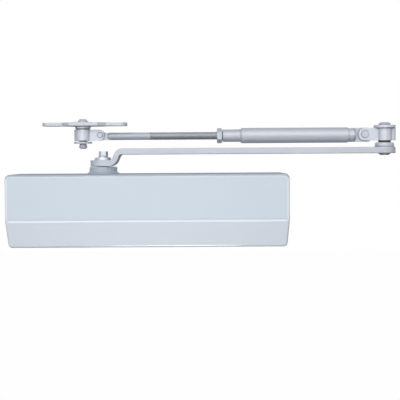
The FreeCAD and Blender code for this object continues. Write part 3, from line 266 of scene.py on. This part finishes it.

# %% [markdown]
# ## Shared effects: painted shade in crevices
# Where another surface is close by, the paint is darkened as painted shade. Ambient occlusion
# measures how open a spot is, so the mask is one minus that.

# %% Crevice shade group
openness_rays = 8
crevice_shade, start, end = new_group("crevice_shade", {"Distance": 0.002}, ["Mask"])
join = crevice_shade.links.new
openness = add_node(crevice_shade, "AmbientOcclusion", samples=openness_rays)
closed = add_node(crevice_shade, "Math", {0: 1}, operation="SUBTRACT")
join(start.outputs["Distance"], openness.inputs["Distance"])
join(openness.outputs["AO"], closed.inputs[1])
join(closed.outputs[0], end.inputs["Mask"])
print("groups:", [group.name for group in bpy.data.node_groups])

# %% [markdown]
# ## Mixing colours
# A finish is built up in layers: each one is a tone that a mask lays over the colour below it.
# Three small helpers do that. One makes a mask out of a value, one weakens a mask, and one lays
# a tone over a colour by a mask.


# %% Mask and tone helpers
def ramp(tree, value, limits):
    """A mask that grows from 0 at the first limit to 1 at the second."""
    node = add_node(tree, "MapRange", {"From Min": limits[0], "From Max": limits[1]})
    tree.links.new(value, node.inputs["Value"])
    return node.outputs["Result"]


def weaken(tree, mask, amount):
    """A mask times an amount."""
    node = add_node(tree, "Math", {1: amount}, operation="MULTIPLY")
    tree.links.new(mask, node.inputs[0])
    return node.outputs[0]


def lay_over(tree, colour, tone, mask):
    """A colour with a tone laid over it where the mask says."""
    node = add_node(tree, "Mix", {"B": opaque(tone)}, data_type="RGBA")
    tree.links.new(mask, node.inputs["Factor"])
    tree.links.new(colour, node.inputs["A"])
    return node.outputs["Result"]


print("helpers:", [helper.__name__ for helper in (ramp, weaken, lay_over)])

# %% [markdown]
# ## A finish and what varies in it
# Every finish here is a Principled surface whose colour drifts a little, whose speckle drives
# roughness and a faint bump, and whose edges wear towards another colour. Some have painted shade
# darkening their crevices. The helper below wires that once. Numbers that don't vary go straight on the
# shader.

# %% Finish helper
# near-black tone of the painted shade laid into crevices
crevice_shade_tone = (0.05, 0.05, 0.06)
bump_depth = 0.0002


def finish(
    name, tones, worn, rough, metal=0.0, shine=0.5,
    broad=18, fine=900, bump=0.02, wear=0.3, radius=0.0006, painted_shade=0.0,
):
    """A surface with drifting colour, speckled roughness, fine bump, worn edges and painted shade in
    crevices.
    """
    material = bpy.data.materials.new(name)
    material.use_nodes = True
    tree = material.node_tree
    join = tree.links.new
    shader = tree.nodes["Principled BSDF"]
    shader.inputs["Metallic"].default_value = metal
    shader.inputs["Specular IOR Level"].default_value = shine
    surface = add_node(tree, "Group", {"Broad Scale": broad, "Fine Scale": fine}, node_tree=grain)
    edges = add_node(tree, "Group", {"Radius": radius}, node_tree=worn_edge)
    drift = add_node(tree, "Mix", {"A": opaque(tones[0]), "B": opaque(tones[1])}, data_type="RGBA")
    gloss = add_node(tree, "MapRange", {"To Min": rough[0], "To Max": rough[1]})
    relief = add_node(tree, "Bump", {"Strength": bump, "Distance": bump_depth})
    join(surface.outputs["Tone"], drift.inputs["Factor"])
    colour = lay_over(tree, drift.outputs["Result"], worn, weaken(tree, edges.outputs["Mask"], wear))
    # painted shade: crevices near other surfaces are darkened towards the near-black tone
    if painted_shade:
        gaps = add_node(tree, "Group", node_tree=crevice_shade)
        colour = lay_over(tree, colour, crevice_shade_tone, weaken(tree, gaps.outputs["Mask"], painted_shade))
    join(colour, shader.inputs["Base Color"])
    join(surface.outputs["Speckle"], gloss.inputs["Value"])
    join(gloss.outputs["Result"], shader.inputs["Roughness"])
    join(surface.outputs["Speckle"], relief.inputs["Height"])
    join(relief.outputs["Normal"], shader.inputs["Normal"])
    return material


print("a finish bumps the surface by up to", bump_depth, "m")

# %% [markdown]
# ## Cover paint
# The cover is a moulding sprayed a pale, cool silver under a thin clear coat. Only the coat is
# glossy, so the paint below it has no shine of its own.

# %% Cover paint
coat_roughness = 0.08
coat_index = 1.8
cover_paint = finish(
    "cover_paint", [(0.65, 0.735, 0.83), (0.67, 0.755, 0.85)], (0.8, 0.85, 0.9), (0.36, 0.42),
    shine=0.0, broad=6, fine=700, bump=0.01, wear=0.05, radius=0.001,
)
cover_shader = cover_paint.node_tree.nodes["Principled BSDF"]
cover_shader.inputs["Coat Roughness"].default_value = coat_roughness
cover_shader.inputs["Coat IOR"].default_value = coat_index
print("made", cover_paint.name)

# %% [markdown]
# ## Painted light on the cover, by direction
# The slanted lower facet is painted a shade paler, as painted light, so that it doesn't look darker than the
# front under light from above. The rounded edges at both ends are paler still: a painted highlight. Along
# the top edge the coat fades out and the paint is a shade darker: painted shade that draws that edge. The
# direction of the surface tells these places apart, so they need no painted map: Z says how far a spot faces
# up, and X how far it faces an end.

# %% Facet, ends and top edge
facet_painted_light_tone = (0.785, 0.85, 0.935)
facet_turn = (-0.08, -0.2)
end_painted_highlight_tone = (0.9, 0.94, 0.98)
end_turn_in = (0.08, 0.3)
end_turn_out = (0.85, 0.6)
rim_painted_shade_tone = (0.56, 0.63, 0.72)
rim_turn = (0.02, 0.4)
tree = cover_paint.node_tree
join = tree.links.new
place = add_node(tree, "TexCoord")
facing = add_node(tree, "SeparateXYZ")
sideways = add_node(tree, "Math", operation="ABSOLUTE")
at_end = add_node(tree, "Math", operation="MULTIPLY")
join(place.outputs["Normal"], facing.inputs[0])
join(facing.outputs["X"], sideways.inputs[0])
join(ramp(tree, sideways.outputs[0], end_turn_in), at_end.inputs[0])
join(ramp(tree, sideways.outputs[0], end_turn_out), at_end.inputs[1])
below = ramp(tree, facing.outputs["Z"], facet_turn)
above = ramp(tree, facing.outputs["Z"], rim_turn)
colour = cover_shader.inputs["Base Color"].links[0].from_socket
# painted light on the facet, a painted highlight at both ends and painted shade along the top edge
colour = lay_over(tree, colour, facet_painted_light_tone, below)
colour = lay_over(tree, colour, end_painted_highlight_tone, at_end.outputs[0])
colour = lay_over(tree, colour, rim_painted_shade_tone, above)
join(colour, cover_shader.inputs["Base Color"])
join(ramp(tree, above, (1, 0)), cover_shader.inputs["Coat Weight"])
print("nodes of the cover paint:", len(tree.nodes))

# %% [markdown]
# ## Paint and plating of the arms
# The arms are steel in a greyer satin silver whose flakes show as a fine speckle and make it partly
# metallic; the bent straps at both ends, with the elbow's pin and washers, are a little paler.
# The arm's bolt and the loose washers are bright zinc plate. The thread is bare, oiled steel.

# %% Paint and plating
# the arm and strap paints get full painted shade in their crevices
satin = dict(metal=0.4, shine=0.05, broad=30, fine=1800, bump=0.05, wear=0.1, painted_shade=1.0)
arm_paint = finish(
    "arm_paint", [(0.5, 0.525, 0.585), (0.55, 0.575, 0.635)], (0.66, 0.68, 0.74), (0.44, 0.58), **satin,
)
strap_paint = finish(
    "strap_paint", [(0.57, 0.595, 0.66), (0.63, 0.655, 0.72)], (0.75, 0.77, 0.83), (0.4, 0.55), **satin,
)
# the zinc plate gets some painted shade in its crevices
zinc = finish(
    "zinc_plate", [(0.45, 0.49, 0.53), (0.53, 0.57, 0.61)], (0.6, 0.64, 0.68), (0.32, 0.46),
    metal=0.9, broad=120, fine=1500, bump=0.05, radius=0.0002, painted_shade=0.6,
)
bare_steel = finish(
    "oiled_steel", [(0.25, 0.26, 0.29), (0.34, 0.35, 0.38)], (0.45, 0.45, 0.47), (0.42, 0.58),
    metal=0.65, broad=90, fine=1300, bump=0.06, wear=0.5, radius=0.0003,
)
print("made", [material.name for material in (arm_paint, strap_paint, zinc, bare_steel)])

# %% [markdown]
# ## Mouldings, castings and the rest
# The collar is a grey moulding. Inside the cover, the body, its caps and its glands are die castings
# with a coarse skin, the bearings and valves are bronze and the seals are black rubber.
# The bushes of the arms and the shoe's wear washer are black acetal.

# %% Mouldings, castings and the rest
collar_grey = finish(
    "collar_grey", [(0.47, 0.535, 0.63), (0.5, 0.565, 0.66)], (0.6, 0.63, 0.68), (0.4, 0.5),
    broad=40, fine=1000, bump=0.03,
)
casting = finish(
    "die_casting", [(0.5, 0.51, 0.52), (0.6, 0.61, 0.62)], (0.75, 0.75, 0.76), (0.45, 0.65),
    metal=0.7, broad=40, fine=700, bump=0.2, wear=0.4,
)
bronze = finish(
    "bronze", [(0.46, 0.3, 0.13), (0.58, 0.4, 0.19)], (0.7, 0.54, 0.3), (0.32, 0.45),
    metal=0.9, broad=80, fine=1600, bump=0.06,
)
rubber = finish(
    "seal_rubber", [(0.012, 0.012, 0.013), (0.02, 0.02, 0.021)], (0.04, 0.04, 0.04), (0.55, 0.7),
    broad=60, fine=1200, bump=0.05, wear=0.2,
)
black_acetal = finish(
    "black_acetal", [(0.012, 0.012, 0.014), (0.02, 0.02, 0.023)], (0.05, 0.05, 0.05), (0.35, 0.5),
    broad=60, fine=1200, wear=0.2,
)
print("made", [material.name for material in (collar_grey, casting, bronze, rubber, black_acetal)])

# %% [markdown]
# ## Which piece has which finish
# Each solid takes one finish, which replaces the plain material that it came with.

# %% Dress the solids
wardrobe = {
    cover_paint: ["cover"],
    arm_paint: [
        "main_arm", "elbow_lower_washer", "elbow_rivet", "tube_plug", "forearm_tube", "shoe_rivet",
        "shoe_pin", "shoe_retaining_ring", "shoe_plate", "lock_nut",
    ],
    strap_paint: ["elbow_strap", "shoe_strap", "elbow_pin", "elbow_thrust_washer", "elbow_top_washer"],
    zinc: ["arm_washer", "arm_bolt", "shoe_washer"],
    bare_steel: ["pinion_shaft", "piston", "check_ball", "return_spring", "forearm_rod"],
    collar_grey: ["spindle_collar"],
    casting: ["housing", "left_end_cap", "right_end_cap", "upper_gland", "lower_gland"],
    bronze: [
        "upper_bearing", "lower_bearing", "closing_speed_valve", "latching_speed_valve", "check_ball_seat",
    ],
    rubber: ["end_cap_seals", "upper_shaft_seal", "lower_shaft_seal", "valve_seals"],
    black_acetal: ["elbow_bush", "shoe_bush", "shoe_wear_washer"],
}
for material, names in wardrobe.items():
    for name in names:
        nodes[name].data.materials.clear()
        nodes[name].data.materials.append(material)
bare = [name for name in nodes if name not in sum(wardrobe.values(), [])]
print("solids without a finish:", bare)

# %% [markdown]
# ## The threaded rod
# The rod's solid is plain, because a helix is slow to cut in the solids. Here the plain end and
# the eye are a copy of the solid, cut off where the thread starts. The thread itself is one
# tooth's outline spun about the axis while it moves on by a pitch for each turn.
# The rod runs in the tube, so the tube's box gives the axis.

# %% Sizes of the thread
tube_low, tube_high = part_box("forearm_tube")
axis_y = (tube_low.y + tube_high.y) / 2
axis_z = (tube_low.z + tube_high.z) / 2
rod_low, rod_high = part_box("forearm_rod")
thread_start = 0.0021
thread_end = rod_high.x
pitch = 0.00125
crest = 0.00398
root = 0.0034
crest_stretch = (0.42 * pitch, 0.58 * pitch)
steps = 28
spare_turns = 2
weld = 1e-6
paint_index = 0
steel_index = 1
print("plain end", round(thread_start - rod_low.x, 4), "m, thread", round(thread_end - thread_start, 4), "m")

# %% [markdown]
# ## Spinning and cutting
# Neighbouring turns share an edge, so merging doubles leaves one skin. It is spun a few turns longer
# than the thread, and two cuts across the axis give it clean, closed ends.


# %% Thread helpers
def cut_shell(build, x, side):
    """Cut away what lies beyond a plane across X and close the cut."""
    geometry = build.verts[:] + build.edges[:] + build.faces[:]
    cut = bmesh.ops.bisect_plane(
        build, geom=geometry, plane_co=(x, 0, 0), plane_no=(side, 0, 0), clear_outer=True,
    )
    rim = [item for item in cut["geom_cut"] if isinstance(item, bmesh.types.BMEdge)]
    bmesh.ops.holes_fill(build, edges=rim)


def spun_thread(build):
    """A closed screw thread along X between thread_start and thread_end."""
    profile = [(0, root), (crest_stretch[0], crest), (crest_stretch[1], crest), (pitch, root)]
    first = thread_start - spare_turns * pitch
    verts = [build.verts.new((first + x, axis_y, axis_z + radius)) for x, radius in profile]
    edges = [build.edges.new(pair) for pair in zip(verts, verts[1:])]
    turns = math.ceil((thread_end - first) / pitch) + spare_turns
    bmesh.ops.spin(
        build, geom=verts + edges, cent=(0, axis_y, axis_z), axis=(1, 0, 0),
        dvec=(pitch / steps, 0, 0), angle=2 * math.pi * turns, steps=steps * turns, use_merge=False,
    )
    bmesh.ops.remove_doubles(build, verts=build.verts, dist=weld)
    cut_shell(build, thread_start, -1)
    cut_shell(build, thread_end, 1)


screw = bpy.data.meshes.new("screw")
build = bmesh.new()
spun_thread(build)
for face in build.faces:
    face.material_index = steel_index
    face.smooth = True
build.to_mesh(screw)
build.free()
print("thread:", len(screw.polygons), "faces")

# %% [markdown]
# ## Joining plain end and thread
# The copy of the solid is loose triangles, so its doubles are merged before the cut. Both shells then
# go into one mesh, whose first material is the paint and whose second is the bare steel of the thread.

# %% Threaded rod
threaded = bpy.data.meshes.new("threaded_rod")
build = bmesh.new()
build.from_mesh(nodes["forearm_rod"].data)
bmesh.ops.remove_doubles(build, verts=build.verts, dist=weld)
cut_shell(build, thread_start, 1)
for face in build.faces:
    face.material_index = paint_index
build.from_mesh(screw)
bmesh.ops.recalc_face_normals(build, faces=build.faces)
build.to_mesh(threaded)
build.free()
bpy.data.meshes.remove(screw)
threaded.materials.append(arm_paint)
threaded.materials.append(bare_steel)
rod = bpy.data.objects.new("threaded_rod", threaded)
scene.collection.objects.link(rod)
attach(rod, "rod")
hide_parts("forearm_rod")
print("rod:", len(threaded.polygons), "faces")
